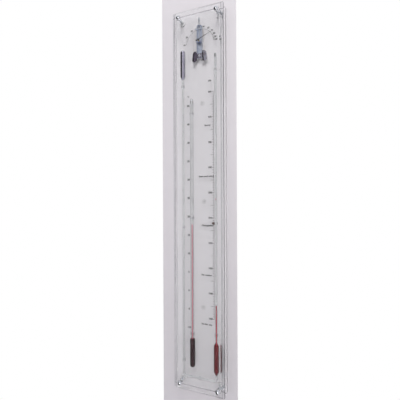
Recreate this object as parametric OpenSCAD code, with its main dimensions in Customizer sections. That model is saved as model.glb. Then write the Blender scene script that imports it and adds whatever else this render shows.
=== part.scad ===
// Wall instrument of two clear plates. Between them hang a glass siphon barometer,
// a glass thermometer and a hair hygrometer with a turning pointer.
// The origin is the centre of the four wall fixings, on the wall plane.
// +X is to the right and +Z is up. The wall is the plane Y = 0 and the front faces -Y.

/* [Panel] */
// Width of both clear plates
panel_w = 139; // [116:1:180]
// Height of both clear plates
panel_h = 995; // [800:5:1200]
// Thickness of the front plate
front_t = 8; // [7:0.5:12]
// Thickness of the back plate
back_t = 6; // [4:0.5:10]
// Free gap between the two plates, which holds the glass
plate_gap = 18; // [17:0.5:24]
// Width of the bevel around the front plate's face
bevel_w = 9.5; // [6:0.5:10]
// Depth of that bevel at the plate's edge
bevel_d = 6; // [2:0.5:6]
// Corner radius of both plates
corner_r = 4; // [2:0.5:8]
// Width of the small polished chamfer on the plates' sharp edges
arris_w = 0.5; // [0.2:0.1:0.8]

/* [Fixings] */
// Distance of each fixing from the plate's side, top and bottom edges
fix_inset = 17.5; // [15:0.5:24]
// Diameter of the threaded part of the wall studs
stud_d = 5; // [4:0.5:6]
// Diameter of the studs' screw end in the wall
wall_screw_d = 5.5; // [5:0.5:8]
// Length of each stud that goes into the wall
stud_in_wall = 30; // [20:1:60]
// Diameter of the polished dome caps
cap_d = 11.5; // [10:0.5:15]
// Height of a dome cap, from its washer to its crown
cap_h = 6; // [5:0.5:10]
// Outer diameter of the clear spacer tubes between the plates
spacer_d = 8; // [7.5:0.5:12]
// Thickness of the stand-offs between the back plate and the wall
standoff_t = 5; // [4:0.5:20]
// Diameter of the stand-offs
standoff_d = 14; // [10:1:20]

/* [Siphon tube] */
// Distance of each limb's axis from the plate's side edge
limb_inset = 24.5; // [22:0.5:30]
// Outer diameter of the glass stems
stem_d = 6; // [5:0.25:8]
// Bore of the glass stems
bore_d = 1.5; // [1:0.1:2.5]
// Outer diameter of the gas reservoir and of the liquid bulb
vessel_d = 13; // [11:0.5:14]
// Glass wall of the gas reservoir and of the liquid bulb
vessel_wall = 1; // [0.8:0.1:2]
// Length of the gas reservoir at the top of the left limb
reservoir_len = 78; // [40:1:110]
// Length of the liquid bulb at the foot of the right limb
bulb_len = 79; // [40:1:110]
// Centre line radius of the two bends at the bottom
bend_r = 8; // [6:0.5:12]
// Height of the bottom run above the plate's lower edge
run_inset = 33.5; // [25:0.5:60]
// Depth of the reservoir's top below the plate's upper edge
reservoir_inset = 98.5; // [90:0.5:140]
// Depth of the open end of the right limb below the plate's upper edge
vent_inset = 122.5; // [100:0.5:160]

/* [Thermometer] */
// Distance of the thermometer's axis from the left limb's axis
thermometer_offset = 24.5; // [20:0.5:30]
// Outer diameter of the thermometer's stem
thermometer_d = 8.5; // [7:0.25:10]
// Outer diameter of the thermometer's bulb
thermometer_bulb_d = 13.5; // [11:0.5:14.5]
// Length of the thermometer's bulb
thermometer_bulb_len = 78; // [40:1:100]
// Height of the bulb's lower end above the plate's lower edge
thermometer_foot = 58.5; // [50:0.5:90]
// Depth of the thermometer's rounded top below the plate's upper edge
thermometer_inset = 229.5; // [200:0.5:300]

/* [Scale and reading index] */
// Depth of the scale's first mark below the plate's upper edge
scale_inset_top = 214.5; // [200:0.5:260]
// Height of the scale's last mark above the plate's lower edge
scale_inset_bottom = 188.5; // [180:0.5:260]
// Pressure at the scale's first mark, in hPa
scale_first = 960; // [940:10:980]
// Pressure at the scale's last mark, in hPa
scale_last = 1050; // [1040:10:1060]
// Pressure that the sliding index points at
index_reading = 1012; // [980:1:1030]
// Pressure that the column in the open limb shows
column_reading = 1044; // [980:1:1048]
// Temperature that the thermometer shows, in degrees Celsius
temperature_reading = 18; // [0:1:40]

/* [Hygrometer] */
// Depth of the pointer's pivot below the plate's upper edge
pivot_inset = 79.5; // [76:0.5:110]
// Length of the pointer from its pivot to its tip
pointer_len = 36.5; // [25:0.5:42]
// Angle of the pointer above the horizontal, towards the right
pointer_angle = 23; // [0:0.5:90]
// Width of the upright metal channel
channel_w = 14.4; // [13:0.2:18]
// Diameter of the pointer's arbor
arbor_d = 1.2; // [1:0.1:1.6]
// Width of each of the foot's two lobes
lobe_w = 12; // [10:0.5:13]
// Length of each of the foot's two lobes
lobe_len = 27; // [20:0.5:30]

/* [Hidden] */
$fn = 64;

// Radial clearance of a screw or stud in a threaded or fitted hole
thread_clear = 0.05;
// Radial clearance of a stud in a plate's drilled hole
hole_clear = 0.5;
// Radial clearance of a glass stem in the clip that holds it
saddle_clear = 0.1;
// Radial clearance of the index clip that slides on the glass
slide_clear = 0.05;
// Radial clearance of the arbor in its bushes
arbor_clear = 0.05;
// Radial clearance between the liquid and the glass around it
liquid_clear = 0.05;
// Radial clearance of a pressed fit
fit_clear = 0.02;
// Small gap between a moving piece and the fixed piece beside it
run_gap = 0.3;
// How far a cut runs past the face that it opens, and a joined shape into its neighbour
cut_over = 1;

// Depth planes, from the wall to the front
y_back_rear = -standoff_t;
y_back_face = y_back_rear - back_t;
y_front_rear = y_back_face - plate_gap;
y_front_face = y_front_rear - front_t;
y_tube = (y_back_face + y_front_rear) / 2;

// Upper and lower edges of the plates, and the places of the fixings
z_top = panel_h / 2;
z_bottom = -panel_h / 2;
fix_x = panel_w / 2 - fix_inset;
fix_z = panel_h / 2 - fix_inset;

// Hardware on each stud, with a small-pattern nut and washer that follow the stud's diameter
washer_t = 1;
clamp_washer_d = 1.5 * stud_d;
clamp_nut_af = 1.4 * stud_d;
clamp_nut_t = 0.8 * stud_d;
cap_washer_rim = 0.5;
cap_washer_d = cap_d + 2 * cap_washer_rim;
cap_washer_t = 0.8;
cap_skirt_h = 2;
cap_roof_t = 1.5;
stud_point_len = 6;
stud_point_d = 0.4;

// Siphon tube
limb_x = panel_w / 2 - limb_inset;
run_z = z_bottom + run_inset;
bend_top_z = run_z + bend_r;
reservoir_top_z = z_top - reservoir_inset;
reservoir_z = reservoir_top_z - reservoir_len;
bulb_lift = 9;
bulb_z = bend_top_z + bulb_lift;
bulb_top_z = bulb_z + bulb_len;
vent_z = z_top - vent_inset;
taper_len = 9;
shoulder_len = 3;
vent_plug_d = stem_d / 2;
vent_plug_len = 9;

// Thermometer
thermometer_x = -limb_x + thermometer_offset;
therm_bulb_z = z_bottom + thermometer_foot;
therm_bulb_top_z = therm_bulb_z + thermometer_bulb_len;
therm_top_z = z_top - thermometer_inset;
therm_wall = 1.2;
therm_tip_len = 6;
therm_chamber_len = 8;
therm_chamber_d = 4.25;
therm_first_lift = 21;
therm_last_drop = 15;
therm_first = -10;
therm_last = 50;
therm_first_z = therm_bulb_top_z + therm_first_lift;
therm_last_z = therm_top_z - therm_last_drop;
therm_level_z = therm_first_z
    + (therm_last_z - therm_first_z) * (temperature_reading - therm_first) / (therm_last - therm_first);

// Barometer scale and the index that slides along it
scale_top_z = z_top - scale_inset_top;
scale_bottom_z = z_bottom + scale_inset_bottom;
hpa_len = (scale_top_z - scale_bottom_z) / (scale_last - scale_first);
index_z = scale_top_z - (index_reading - scale_first) * hpa_len;
column_z = scale_top_z - (column_reading - scale_first) * hpa_len;
clip_wall = 1.1;
clip_h = 6;
clip_mouth = 0.75 * stem_d;
clip_outer_d = stem_d + 2 * slide_clear + 2 * clip_wall;
index_arm_t = 1.2;
index_arm_out = 0.6;
index_len = 6;
index_h = 6.5;
index_t = 2;
index_tip_h = 1;
index_peg_len = 2.5;

// Snap clips that hold the glass off the back plate, each on a post with a round foot
saddle_wall = 1.1;
saddle_h = 5;
saddle_mouth_share = 0.84;
saddle_post_d = 4;
saddle_foot_d = 8;
saddle_foot_t = 1;
saddle_margin = 40;
saddle_below_vessel = 18;
saddle_above_bulb = 10;
saddle_below_scale = 36;

// Hygrometer, measured forwards from the back plate and upwards from the pivot
pivot_z = z_top - pivot_inset;
sheet_t = 1;
flange_front = 4;
channel_bottom = -43;
channel_top = 41.5;
flange_bottom = -28;
screw_low = -37;
screw_high = 36;
frame_screw_d = 3;
frame_screw_head_d = 5.5;
frame_screw_head_h = 2;
frame_nut_af = 5.5;
frame_nut_t = 2.4;
screw_slot_w = 0.8;
screw_slot_deep = 0.8;
screw_past_nut = 0.4;
foot_t = 1.2;
foot_overhang = 2.3;
foot_half = channel_w / 2 + foot_overhang;
foot_bottom = -42;
foot_top = -31;
lobe_gap = 0.3;
lobe_x = channel_w / 2 + lobe_w / 2 + lobe_gap;
lobe_z = -39;
lobe_splay = 6;
lobe_curl_r = 9;
post_out = 2;
post_x = lobe_x + post_out;
post_z = -32;
post_d = 1.2;
bar_z = 33;
bar_h = 3;
bar_t = 1.2;
bar_overhang = 3.8;
bar_half = channel_w / 2 + bar_overhang;
bar_pin_in = 0.8;
bar_pin_x = bar_half - bar_pin_in;
pin_d = 1;
hair_d = 0.4;
hair_knot_d = 0.46;
hair_clear = 0.05;
pin_past_hair = 1;
hair_off_bar = 0.6;
hair_depth = flange_front + bar_t + hair_off_bar;
hair_x = arbor_d / 2 + hair_d / 2 + hair_clear;
pin_step = pin_d / 2 + hair_d / 2 + hair_clear;
bridge_front = 8;
bridge_h = 7;
bush_d = 3;
bush_collar_d = 4.4;
bush_collar_t = 0.8;
hub_d = 5;
hub_spigot_d = 2.4;
pipe_front = 11.8;
hub_start = pipe_front + run_gap;
hub_t = 0.9;
pointer_start = hub_start + hub_t;
pointer_t = 0.5;
hub_cap_start = pointer_start + pointer_t;
hub_cap_t = 1.2;
hub_cap_d = 4;
needle_root_w = 1.6;
needle_tip_w = 0.3;
tail_len = 4.6;
counterweight_d = 3.6;
counterweight_t = 2;
tail_pad_d = 3;
lug_w = 8;
adjuster_d = 2;
adjuster_depth = flange_front + bar_t / 2;
adjuster_knob_z = 50;
adjuster_knob_d = 5;
adjuster_knob_len = 11;
adjuster_flutes = 12;
adjuster_flute_d = 0.8;
adjuster_collar = 1;
spring_depth = 3;
spring_turns = 3;
spring_inner_r = 1.5;
spring_outer_r = 4.6;
spring_t = 0.25;
spring_h = 0.8;
spring_stud_d = 1;
spring_steps_per_turn = 24;
shoulder_d = 2.2;
arbor_end = 0.2;

// A round bar along Y between two depths
module y_rod(d, y_from, y_to) {
  translate([0, y_from, 0])
    rotate([-90, 0, 0])
      cylinder(d = d, h = y_to - y_from);
}

// Places its children at each of the four fixings
module at_fixings() {
  for (side = [-1, 1], level = [-1, 1])
    translate([side * fix_x, 0, level * fix_z])
      children();
}

// Rectangle with round corners, centred
module rounded_rect(w, h, r) {
  square([w - 2 * r, h], center = true);
  square([w, h - 2 * r], center = true);
  for (side = [-1, 1], level = [-1, 1])
    translate([side * (w / 2 - r), level * (h / 2 - r)])
      circle(r = r);
}

// Flat plate with its rear face at one depth
module plate_blank(y_rear, thickness) {
  translate([0, y_rear, 0])
    rotate([90, 0, 0])
      linear_extrude(thickness)
        rounded_rect(panel_w, panel_h, corner_r);
}

// Long prism with a plate's cross-section: small chamfers at the rear, and at the front
// a chamfer or bevel of its own width and depth
module edge_prism(width, length, y_rear, y_front, front_w, front_d) {
  linear_extrude(length, center = true)
    polygon([
      [arris_w - width / 2, y_rear], [width / 2 - arris_w, y_rear],
      [width / 2, y_rear - arris_w], [width / 2, y_front + front_d],
      [width / 2 - front_w, y_front], [front_w - width / 2, y_front],
      [-width / 2, y_front + front_d], [-width / 2, y_rear - arris_w]
    ]);
}

module front_plate() {
  color([0.86, 0.92, 0.94, 0.35])
    difference() {
      intersection() {
        plate_blank(y_front_rear, front_t);
        edge_prism(panel_w, panel_h, y_front_rear, y_front_face, bevel_w, bevel_d);
        rotate([0, 90, 0]) edge_prism(panel_h, panel_w, y_front_rear, y_front_face, bevel_w, bevel_d);
      }
      at_fixings() y_rod(stud_d + 2 * hole_clear, y_front_face - cut_over, y_front_rear + cut_over);
    }
}

module back_plate() {
  color([0.80, 0.88, 0.90, 0.35])
    difference() {
      intersection() {
        plate_blank(y_back_rear, back_t);
        edge_prism(panel_w, panel_h, y_back_rear, y_back_face, arris_w, arris_w);
        rotate([0, 90, 0]) edge_prism(panel_h, panel_w, y_back_rear, y_back_face, arris_w, arris_w);
      }
      at_fixings() y_rod(stud_d + 2 * hole_clear, y_back_face - cut_over, y_back_rear + cut_over);
      at_frame_screws()
        y_rod(frame_screw_d + 2 * hole_clear, y_back_face - cut_over, y_back_rear + cut_over);
    }
}

// Hanger stud: a machine thread in front of the wall, and a pointed screw end in it
module wall_studs() {
  shank_end = stud_in_wall - stud_point_len;
  color("silver")
    at_fixings() {
      y_rod(stud_d, y_front_face - cap_washer_t - cap_skirt_h, 0);
      y_rod(wall_screw_d, 0, shank_end);
      translate([0, shank_end, 0])
        rotate([-90, 0, 0])
          cylinder(d1 = wall_screw_d, d2 = stud_point_d, h = stud_point_len);
    }
}

// Blind polished cap: a short straight skirt under a round crown
module dome_caps() {
  skirt_y = y_front_face - cap_washer_t;
  crown_rise = cap_h - cap_skirt_h;
  crown_r = (pow(cap_d / 2, 2) + pow(crown_rise, 2)) / (2 * crown_rise);
  color("gainsboro")
    at_fixings()
      translate([0, skirt_y, 0])
        rotate([90, 0, 0])
          rotate_extrude()
            difference() {
              union() {
                square([cap_d / 2, cap_skirt_h]);
                intersection() {
                  translate([0, cap_h - crown_r]) circle(r = crown_r, $fn = 128);
                  translate([0, cap_skirt_h]) square([cap_d / 2, crown_rise]);
                }
              }
              square([stud_d / 2 + thread_clear, cap_h - cap_roof_t]);
            }
}

// Thin ring on a stud, from a front depth to a rear depth
module stud_ring(outer_d, y_from, y_to) {
  difference() {
    y_rod(outer_d, y_from, y_to);
    y_rod(stud_d + 2 * thread_clear, y_from - cut_over, y_to + cut_over);
  }
}

module cap_washers() {
  color("dimgray")
    at_fixings() stud_ring(cap_washer_d, y_front_face - cap_washer_t, y_front_face);
}

module spacer_tubes() {
  color([0.85, 0.88, 0.9, 0.5])
    at_fixings() stud_ring(spacer_d, y_front_rear, y_back_face - washer_t - clamp_nut_t);
}

module clamp_nuts() {
  color("silver")
    at_fixings()
      translate([0, y_back_face - washer_t, 0])
        rotate([90, 0, 0])
          difference() {
            cylinder(d = clamp_nut_af / cos(30), h = clamp_nut_t, $fn = 6);
            translate([0, 0, -cut_over])
              cylinder(d = stud_d + 2 * thread_clear, h = clamp_nut_t + 2 * cut_over);
          }
}

module clamp_washers() {
  color("gray")
    at_fixings() stud_ring(clamp_washer_d, y_back_face - washer_t, y_back_face);
}

// Ring between the back plate and the wall, bored wide enough for the studs' screw end
module wall_standoffs() {
  color([0.9, 0.9, 0.9, 0.6])
    at_fixings()
      difference() {
        y_rod(standoff_d, y_back_rear, 0);
        y_rod(wall_screw_d + 2 * hole_clear, y_back_rear - cut_over, cut_over);
      }
}

// Half outline of a blown vessel: a tapered foot, straight walls and a domed top
module vessel_outline(r, foot_r, z_foot, z_crown, taper) {
  polygon([[0, z_foot], [foot_r, z_foot], [r, z_foot + taper], [0, z_foot + taper]]);
  translate([0, z_foot + taper]) square([r, z_crown - r - z_foot - taper]);
  intersection() {
    translate([0, z_crown - r]) circle(r = r);
    translate([0, z_crown - r]) square([r, r]);
  }
}

// Short cone that blends a stem into the top of a vessel
module shoulder_outline(r, z_crown) {
  polygon([
    [0, z_crown - shoulder_len], [r + shoulder_len / 2, z_crown - shoulder_len / 2],
    [r, z_crown + shoulder_len], [0, z_crown + shoulder_len]
  ]);
}

// The bottom run and its two bends, as a round bar of one radius
module bottom_run(r) {
  run_half = limb_x - bend_r;
  translate([-run_half, y_tube, run_z])
    rotate([0, 90, 0])
      cylinder(r = r, h = 2 * run_half);
  for (side = [-1, 1])
    translate([side * run_half, y_tube, bend_top_z])
      rotate([90, 0, 0])
        rotate([0, 0, side < 0 ? 180 : 270])
          rotate_extrude(angle = 90)
            translate([bend_r, 0]) circle(r = r);
}

// Closed left limb with the gas reservoir, grown or shrunk by one wall
module left_limb(r, vessel_r, crown_drop) {
  translate([-limb_x, y_tube, 0])
    rotate_extrude() {
      translate([0, bend_top_z]) square([r, reservoir_z + cut_over - bend_top_z]);
      vessel_outline(vessel_r, r, reservoir_z, reservoir_top_z - crown_drop, taper_len);
    }
}

// Open right limb with the liquid bulb near its foot, between two heights
module right_limb(r, vessel_r, crown_drop, z_start, z_end) {
  translate([limb_x, y_tube, 0])
    rotate_extrude() {
      translate([0, z_start]) square([r, z_end - z_start]);
      vessel_outline(vessel_r, r, bulb_z, bulb_top_z - crown_drop, taper_len);
      shoulder_outline(r, bulb_top_z - crown_drop);
    }
}

module siphon_tube() {
  inner_r = vessel_d / 2 - vessel_wall;
  color([0.9, 0.95, 0.95, 0.4])
    difference() {
      union() {
        left_limb(stem_d / 2, vessel_d / 2, 0);
        bottom_run(stem_d / 2);
        right_limb(stem_d / 2, vessel_d / 2, 0, bend_top_z, vent_z);
      }
      union() {
        left_limb(bore_d / 2, inner_r, vessel_wall);
        bottom_run(bore_d / 2);
        right_limb(bore_d / 2, inner_r, vessel_wall, bend_top_z, vent_z + cut_over);
        translate([limb_x, y_tube, vent_z - vent_plug_len])
          cylinder(d = vent_plug_d + 2 * fit_clear, h = vent_plug_len + cut_over);
      }
    }
}

// Red liquid: it fills the bulb and stands in the open limb. The rest of the bore holds gas.
module siphon_liquid() {
  drop = vessel_wall + liquid_clear;
  color([0.62, 0.10, 0.13])
    right_limb(bore_d / 2 - liquid_clear, vessel_d / 2 - drop, drop, bulb_z, column_z);
}

// Porous plug that keeps dust out of the open limb
module vent_plug() {
  color("dimgray")
    translate([limb_x, y_tube, vent_z - vent_plug_len + run_gap])
      cylinder(d = vent_plug_d, h = vent_plug_len - run_gap);
}

// Clear snap clip: an open ring around a vertical tube, on a post with a foot on the back plate
module saddle(tube_d) {
  bore = tube_d + 2 * saddle_clear;
  ring_d = bore + 2 * saddle_wall;
  mouth = saddle_mouth_share * tube_d;
  difference() {
    union() {
      translate([0, y_tube, -saddle_h / 2]) cylinder(d = ring_d, h = saddle_h);
      y_rod(saddle_post_d, y_tube, y_back_face);
      y_rod(saddle_foot_d, y_back_face - saddle_foot_t, y_back_face);
    }
    translate([0, y_tube, -saddle_h]) cylinder(d = bore, h = 2 * saddle_h);
    translate([-mouth / 2, y_tube - ring_d, -saddle_h]) cube([mouth, ring_d, 2 * saddle_h]);
  }
}

module siphon_saddles() {
  color([0.9, 0.93, 0.95, 0.4]) {
    for (z = [reservoir_z - saddle_below_vessel, (reservoir_z + run_z) / 2, run_z + saddle_margin])
      translate([-limb_x, 0, z]) saddle(stem_d);
    for (z = [vent_z - saddle_margin, scale_bottom_z - saddle_below_scale])
      translate([limb_x, 0, z]) saddle(stem_d);
    translate([0, 0, run_z]) rotate([0, 90, 0]) saddle(stem_d);
  }
}

// Outline of the thermometer's glass or of its bore, from the bulb to a round top
module thermometer_outline(r, bulb_r, z_foot, z_bulb, z_end) {
  intersection() {
    translate([0, z_foot + bulb_r]) circle(r = bulb_r);
    translate([0, z_foot]) square([bulb_r, bulb_r]);
  }
  translate([0, z_foot + bulb_r]) square([bulb_r, z_bulb - z_foot - 2 * bulb_r]);
  intersection() {
    translate([0, z_bulb - bulb_r]) circle(r = bulb_r);
    translate([0, z_bulb - bulb_r]) square([bulb_r, bulb_r]);
  }
  translate([0, z_bulb - shoulder_len]) square([r, z_end - r - z_bulb + shoulder_len]);
  intersection() {
    translate([0, z_end - r]) circle(r = r);
    translate([0, z_end - 2 * r]) square([r, 2 * r]);
  }
}

module thermometer_tube() {
  inner_r = thermometer_bulb_d / 2 - therm_wall;
  color([0.9, 0.95, 0.95, 0.4])
    translate([thermometer_x, y_tube, 0])
      rotate_extrude()
        difference() {
          thermometer_outline(thermometer_d / 2, thermometer_bulb_d / 2,
                              therm_bulb_z, therm_bulb_top_z, therm_top_z);
          union() {
            thermometer_outline(bore_d / 2, inner_r, therm_bulb_z + therm_wall,
                                therm_bulb_top_z - therm_wall, therm_top_z - therm_tip_len);
            translate([0, therm_top_z - therm_tip_len - therm_chamber_len])
              square([therm_chamber_d / 2, therm_chamber_len]);
          }
        }
}

module thermometer_liquid() {
  r = bore_d / 2 - liquid_clear;
  drop = therm_wall + liquid_clear;
  color([0.35, 0.05, 0.08])
    translate([thermometer_x, y_tube, 0])
      rotate_extrude()
        thermometer_outline(r, thermometer_bulb_d / 2 - drop, therm_bulb_z + drop,
                            therm_bulb_top_z - drop, therm_level_z);
}

module thermometer_saddles() {
  color([0.9, 0.93, 0.95, 0.4])
    for (z = [therm_top_z - saddle_margin, (therm_top_z + therm_bulb_top_z) / 2,
              therm_bulb_top_z + saddle_above_bulb])
      translate([thermometer_x, 0, z]) saddle(thermometer_d);
}

// Clear spring clip that slides on the right limb, with a short arm towards the scale
module index_clip() {
  inner_d = stem_d + 2 * slide_clear;
  color([0.9, 0.9, 0.92, 0.6])
    translate([limb_x, y_tube, index_z])
      difference() {
        union() {
          translate([0, 0, -clip_h / 2]) cylinder(d = clip_outer_d, h = clip_h);
          translate([-clip_outer_d / 2 - index_arm_out, -index_arm_t / 2, -clip_h / 2])
            cube([clip_outer_d / 2, index_arm_t, clip_h]);
          translate([-clip_outer_d / 2 - index_arm_out - index_peg_len, 0, 0])
            rotate([0, 90, 0])
              cylinder(d = index_arm_t, h = index_peg_len + cut_over);
        }
        translate([0, 0, -clip_h]) cylinder(d = inner_d, h = 2 * clip_h);
        translate([-clip_mouth / 2, 0, -clip_h]) cube([clip_mouth, clip_outer_d, 2 * clip_h]);
      }
}

// Dark arrow pushed on the clip's peg, which points at the scale
module index_pointer() {
  start_x = limb_x - clip_outer_d / 2 - index_arm_out;
  color([0.30, 0.20, 0.17])
    translate([start_x, y_tube, index_z])
      difference() {
        translate([0, index_t / 2, 0])
          rotate([90, 0, 0])
            linear_extrude(index_t)
              polygon([
                [0, -index_h / 2], [0, index_h / 2], [-index_len / 2, index_h / 2],
                [-index_len, index_tip_h / 2], [-index_len, -index_tip_h / 2], [-index_len / 2, -index_h / 2]
              ]);
        translate([-index_peg_len, 0, 0])
          rotate([0, 90, 0])
            cylinder(d = index_arm_t + 2 * fit_clear, h = index_peg_len + cut_over);
      }
}

// Extrudes its 2D children forwards, from a distance in front of the back plate.
// Their X and Y are the sideways and upward distances from the pivot.
module sheet(start, thickness) {
  translate([0, y_back_face - start, pivot_z])
    rotate([90, 0, 0])
      linear_extrude(thickness)
        children();
}

// Places its children at the two screws that hold the hygrometer's channel
module at_frame_screws() {
  for (level = [screw_low, screw_high])
    translate([0, 0, pivot_z + level])
      children();
}

// Upright channel of thin bright sheet, with a lug bent forwards at its top
module hygrometer_frame() {
  color([0.62, 0.68, 0.76])
    difference() {
      union() {
        sheet(0, sheet_t)
          translate([-channel_w / 2, channel_bottom])
            square([channel_w, channel_top - channel_bottom]);
        for (side = [-1, 1])
          sheet(sheet_t, flange_front - sheet_t)
            translate([side * (channel_w - sheet_t) / 2 - sheet_t / 2, flange_bottom])
              square([sheet_t, channel_top - flange_bottom]);
        sheet(sheet_t, adjuster_depth + adjuster_d)
          translate([-lug_w / 2, channel_top - sheet_t])
            square([lug_w, sheet_t]);
        sheet(sheet_t, spring_depth + spring_h)
          translate([spring_outer_r + spring_t / 2 + spring_stud_d / 2 + hair_clear, 0])
            circle(d = spring_stud_d);
      }
      at_frame_screws()
        y_rod(frame_screw_d + 2 * thread_clear, y_back_face - sheet_t - cut_over, y_back_face + cut_over);
      translate([0, 0, pivot_z])
        y_rod(bush_d + 2 * fit_clear, y_back_face - sheet_t - cut_over, y_back_face + cut_over);
      translate([0, y_back_face - adjuster_depth, pivot_z + channel_top - 2 * sheet_t])
        cylinder(d = adjuster_d + 2 * thread_clear, h = 3 * sheet_t);
    }
}

// One of the foot's lobes: a leaf with round ends, curled about its own long axis
module foot_lobe(side) {
  edge_y = y_back_face - sheet_t;
  inner_r = lobe_curl_r - foot_t;
  curl_y = edge_y + sqrt(pow(inner_r, 2) - pow(lobe_w / 2, 2));
  translate([side * lobe_x, 0, pivot_z + lobe_z])
    rotate([0, -side * lobe_splay, 0])
      intersection() {
        translate([0, edge_y, 0])
          rotate([90, 0, 0])
            linear_extrude(lobe_curl_r) {
              square([lobe_w, lobe_len - lobe_w], center = true);
              for (level = [-1, 1])
                translate([0, level * (lobe_len - lobe_w) / 2]) circle(d = lobe_w);
            }
        translate([0, curl_y, -lobe_len])
          difference() {
            cylinder(r = lobe_curl_r, h = 2 * lobe_len);
            translate([0, 0, -cut_over]) cylinder(r = inner_r, h = 2 * (lobe_len + cut_over));
          }
      }
}

// Foot that screws over the channel's lower end: a cross strip, two lobes and two hair posts
module hygrometer_foot() {
  color([0.45, 0.47, 0.53])
    difference() {
      union() {
        sheet(sheet_t, foot_t)
          translate([-foot_half, foot_bottom])
            square([2 * foot_half, foot_top - foot_bottom]);
        for (side = [-1, 1]) {
          foot_lobe(side);
          translate([side * post_x, 0, pivot_z + post_z])
            y_rod(post_d, y_back_face - hair_depth - pin_past_hair, y_back_face - flange_front);
        }
      }
      translate([0, 0, pivot_z + screw_low])
        y_rod(frame_screw_d + 2 * thread_clear, y_back_face - sheet_t - foot_t - cut_over, y_back_face);
    }
}

// Slotted screw through the hygrometer and the back plate, with its head at one depth
module frame_screw(seat_y) {
  difference() {
    union() {
      y_rod(frame_screw_head_d, seat_y - frame_screw_head_h, seat_y);
      y_rod(frame_screw_d, seat_y - cut_over, y_back_rear + frame_nut_t + screw_past_nut);
    }
    translate([-frame_screw_head_d, seat_y - frame_screw_head_h - cut_over, -screw_slot_w / 2])
      cube([2 * frame_screw_head_d, screw_slot_deep + cut_over, screw_slot_w]);
  }
}

module frame_screws() {
  color("darkgray") {
    translate([0, 0, pivot_z + screw_low]) frame_screw(y_back_face - sheet_t - foot_t);
    translate([0, 0, pivot_z + screw_high]) frame_screw(y_back_face - sheet_t);
  }
}

module frame_nuts() {
  color("silver")
    at_frame_screws()
      translate([0, y_back_rear + frame_nut_t, 0])
        rotate([90, 0, 0])
          difference() {
            cylinder(d = frame_nut_af / cos(30), h = frame_nut_t, $fn = 6);
            translate([0, 0, -cut_over])
              cylinder(d = frame_screw_d + 2 * thread_clear, h = frame_nut_t + 2 * cut_over);
          }
}

// Cross bar near the channel's top, with four pins that guide the hair
module hair_bar() {
  color([0.55, 0.58, 0.63])
    union() {
      sheet(flange_front, bar_t)
        translate([-bar_half, bar_z - bar_h / 2])
          square([2 * bar_half, bar_h]);
      for (x = [-bar_pin_x, bar_pin_x, hair_x - pin_step, hair_x + pin_step])
        translate([x, 0, pivot_z + bar_z])
          y_rod(pin_d, y_back_face - hair_depth - pin_past_hair, y_back_face - flange_front - bar_t / 2);
    }
}

// Straight run of hair between two points given sideways and upwards from the pivot
module hair_run(from, to) {
  run = to - from;
  translate([from[0], y_back_face - hair_depth, pivot_z + from[1]])
    rotate([0, atan2(run[0], run[1]), 0])
      cylinder(d = hair_d, h = norm(run), $fn = 24);
}

// Small knot where two runs of hair meet
module hair_joint(at) {
  translate([at[0], y_back_face - hair_depth, pivot_z + at[1]])
    sphere(d = hair_knot_d, $fn = 24);
}

// Two side strands, which run over the bar's pins and down together to the arbor
module hair_bundle() {
  over_z = bar_z + pin_step;
  color([0.85, 0.80, 0.70])
    union() {
      for (side = [-1, 1]) {
        foot_end = [side * (post_x + post_d / 2 + hair_d / 2 + hair_clear), post_z];
        bar_end = [side * (bar_pin_x + pin_step), over_z];
        hair_run(foot_end, bar_end);
        hair_joint(bar_end);
        hair_run(bar_end, [hair_x, over_z]);
      }
      hair_joint([hair_x, over_z]);
      hair_run([hair_x, 0], [hair_x, over_z]);
    }
}

// Upright screw with a fluted knob, which sets the pull of the hair bar
module adjusting_screw() {
  color([0.66, 0.68, 0.72])
    translate([0, y_back_face - adjuster_depth, pivot_z])
      difference() {
        union() {
          translate([0, 0, bar_z + bar_h / 2 + run_gap])
            cylinder(d = adjuster_d, h = adjuster_knob_z - bar_z - bar_h / 2);
          translate([0, 0, adjuster_knob_z])
            cylinder(d = adjuster_knob_d, h = adjuster_knob_len);
        }
        for (i = [1:adjuster_flutes])
          rotate(360 / adjuster_flutes * i)
            translate([adjuster_knob_d / 2, 0, adjuster_knob_z + adjuster_collar])
              cylinder(d = adjuster_flute_d, h = adjuster_knob_len, $fn = 24);
      }
}

// Small strap across the channel that carries the arbor's front bush
module arbor_bridge() {
  color([0.55, 0.58, 0.63])
    difference() {
      union() {
        sheet(bridge_front - sheet_t, sheet_t)
          square([channel_w, bridge_h], center = true);
        for (side = [-1, 1])
          sheet(flange_front, bridge_front - flange_front)
            translate([side * (channel_w - sheet_t) / 2, 0])
              square([sheet_t, bridge_h], center = true);
      }
      translate([0, 0, pivot_z])
        y_rod(bush_d + 2 * fit_clear, y_back_face - bridge_front - cut_over, y_back_face - flange_front);
    }
}

// Brass bush through one sheet, as long as it needs to be, with a collar beside the sheet
module bush(sheet_rear, bush_len, collar_start) {
  difference() {
    union() {
      sheet(sheet_rear, bush_len) circle(d = bush_d);
      sheet(collar_start, bush_collar_t) circle(d = bush_collar_d);
    }
    sheet(sheet_rear - 2 * cut_over, bush_len + 4 * cut_over) circle(d = arbor_d + 2 * arbor_clear);
  }
}

// The rear bush is flush with the channel, and the front one runs on as a pipe to the hub
module arbor_bushes() {
  bridge_rear = bridge_front - sheet_t;
  color("goldenrod") {
    bush(0, sheet_t, sheet_t);
    bush(bridge_rear, pipe_front - bridge_rear, bridge_rear - bush_collar_t);
  }
}

// Thin arbor with a shoulder behind the place where the hair winds on
module arbor() {
  shoulder_start = sheet_t + bush_collar_t + arbor_end;
  color("silver")
    union() {
      sheet(arbor_end, hub_cap_start + hub_cap_t / 2 - arbor_end) circle(d = arbor_d);
      sheet(shoulder_start, hair_depth - hair_d - run_gap - shoulder_start) circle(d = shoulder_d);
    }
}

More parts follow.
